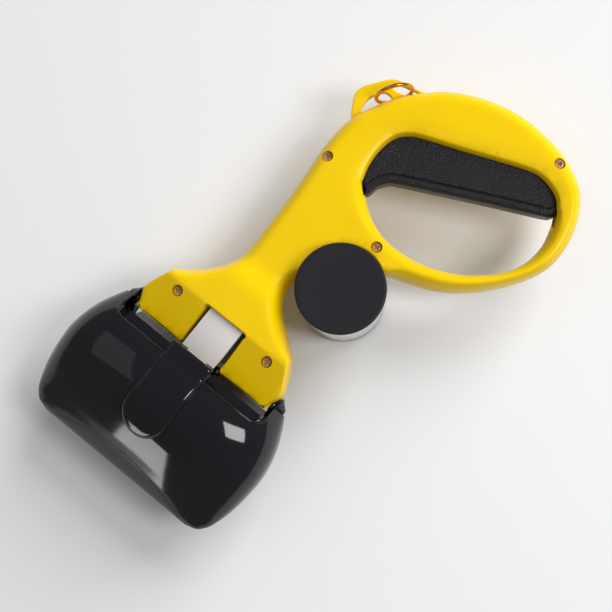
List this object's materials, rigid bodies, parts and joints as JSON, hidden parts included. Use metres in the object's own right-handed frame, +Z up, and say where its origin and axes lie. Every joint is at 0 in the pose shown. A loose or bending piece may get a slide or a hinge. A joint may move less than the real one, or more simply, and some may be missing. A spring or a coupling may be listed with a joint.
{
  "type": "pooper scooper",
  "caption": "One-hand clamshell scooper for dog waste: loop handle with trigger, pull yoke, two hinged jaws, bag dispenser and key ring.",
  "frame": {"origin": "on the floor, under the middle of the tool's bounding box, with the tool lying flat on its side", "axes": "+X from the jaws' lip along the neck towards the handle, +Y across the tool away from the trigger's pivot, +Z up from the floor, square to the plane between the body shells"},
  "size_m": [0.2942, 0.188, 0.0729],
  "materials": {
    "yellow_body": "satin moulded ABS",
    "glossy_black": "polished moulded ABS",
    "matt_black": "fine spark-textured ABS",
    "satin_black": "satin moulded plastic",
    "white_nylon": "natural nylon",
    "chrome": "polished",
    "steel": "drawn wire and turned pin",
    "copper_plate": "copper-plated screw",
    "gold_plate": "gold-coloured plating",
    "bag_film": "rolled thin film",
    "card": "wound card tube"
  },
  "bodies": {
    "housing": {"front_shell": "yellow_body", "rear_shell": "yellow_body", "case_screw_1": "copper_plate", "case_screw_2": "copper_plate", "case_screw_3": "copper_plate", "case_screw_4": "copper_plate", "case_screw_5": "copper_plate", "left_hinge_pin": "steel", "right_hinge_pin": "steel", "trigger_pivot_pin": "steel", "dispenser_sleeve": "chrome", "dispenser_base": "satin_black", "return_spring": "steel"},
    "upper_scoop": {"upper_jaw": "glossy_black"},
    "lower_scoop": {"lower_jaw": "glossy_black"},
    "yoke": {"pull_yoke": "white_nylon", "upper_drive_pin": "steel", "lower_drive_pin": "steel"},
    "squeeze_trigger": {"trigger": "matt_black", "trigger_drive_pin": "steel"},
    "cap": {"dispenser_cap": "satin_black"},
    "roll": {"bag_roll": "bag_film", "roll_core": "card"},
    "ring": {"key_ring": "gold_plate"}
  },
  "joints": [
    {"name": "upper_jaw_swing", "type": "hinge", "parent": "housing", "child": "upper_scoop", "pos_m": [-0.0669, 0.02606, 0.0366], "axis": [0, 1, 0], "range_deg": [0, 50], "stiffness_Nm_per_rad": 0.04, "springref_deg": -28.65},
    {"name": "lower_jaw_swing", "type": "hinge", "parent": "housing", "child": "lower_scoop", "pos_m": [-0.0669, 0.02606, 0.0366], "axis": [0, -1, 0], "range_deg": [0, 50]},
    {"name": "yoke_slide", "type": "slide", "parent": "housing", "child": "yoke", "axis": [1, 0, 0], "range_m": [0, 0.01201], "deforming": ["return_spring"]},
    {"name": "trigger_squeeze", "type": "hinge", "parent": "housing", "child": "squeeze_trigger", "pos_m": [0.1236, -0.07245, 0.0366], "axis": [0, 0, -1], "range_deg": [0, 7.13]},
    {"name": "cap_lift", "type": "slide", "parent": "housing", "child": "cap", "axis": [0, 0, 1], "range_m": [0, 0.03]},
    {"name": "roll_spin", "type": "hinge", "parent": "housing", "child": "roll", "pos_m": [0.0043, -0.01334, 0.0366], "axis": [0, 0, 1], "continuous": true},
    {"name": "ring_turn", "type": "hinge", "parent": "housing", "child": "ring", "pos_m": [0.11125, 0.03389, 0.0409], "axis": [-0.6132, -0.7763, 0.1461], "continuous": true}
  ],
  "couplings": [
    {"joint": "lower_jaw_swing", "follows": "upper_jaw_swing", "ratio": 1},
    {"joint": "yoke_slide", "follows": "upper_jaw_swing", "m_per_rad": 0.013751},
    {"joint": "trigger_squeeze", "follows": "upper_jaw_swing", "ratio": 0.14248}
  ]
}
